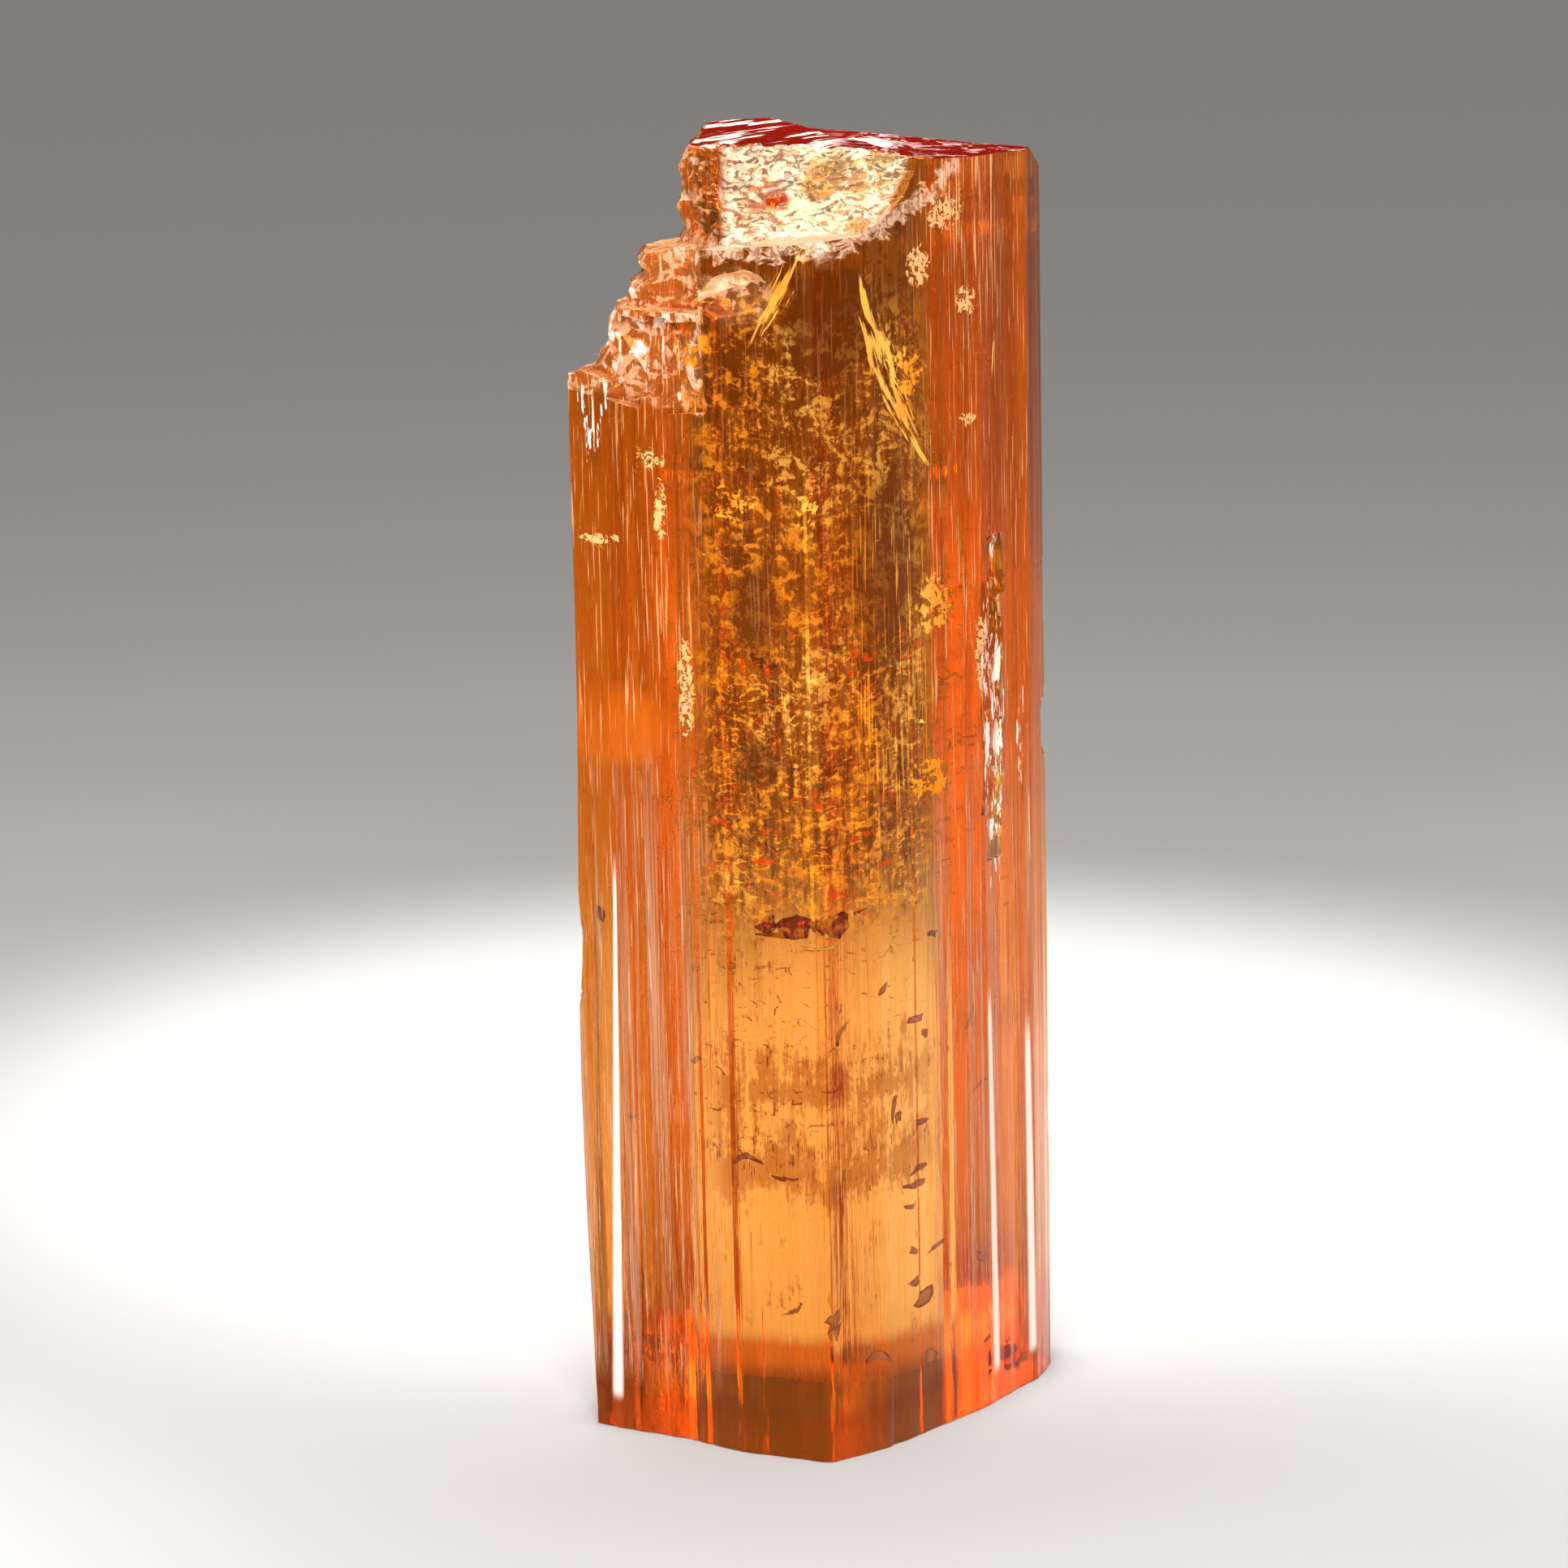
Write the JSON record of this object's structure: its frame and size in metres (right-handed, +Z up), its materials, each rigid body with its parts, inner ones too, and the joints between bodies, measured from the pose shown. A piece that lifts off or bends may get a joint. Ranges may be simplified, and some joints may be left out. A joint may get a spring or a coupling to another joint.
{
  "type": "topaz crystal",
  "caption": "Single upright topaz crystal: a grooved prism of rhombic section on a flat cleaved base, its top broken into a plateau, a shell-shaped bite and a stair of ledges.",
  "frame": {"origin": "on the flat base, under the middle of the crystal's box", "axes": "+Z up along the prism, which is the crystal's long axis; +Y from the front edge, over the bite, to the back edge; +X to the right, with the stair of ledges on -X"},
  "size_m": [0.017, 0.0154, 0.0461],
  "materials": {
    "topaz": "clear orange crystal with a glassy lustre, fine grooves along the prism and brighter hackly breaks"
  },
  "bodies": {
    "root": {"topaz_crystal": "topaz"}
  },
  "joints": []
}
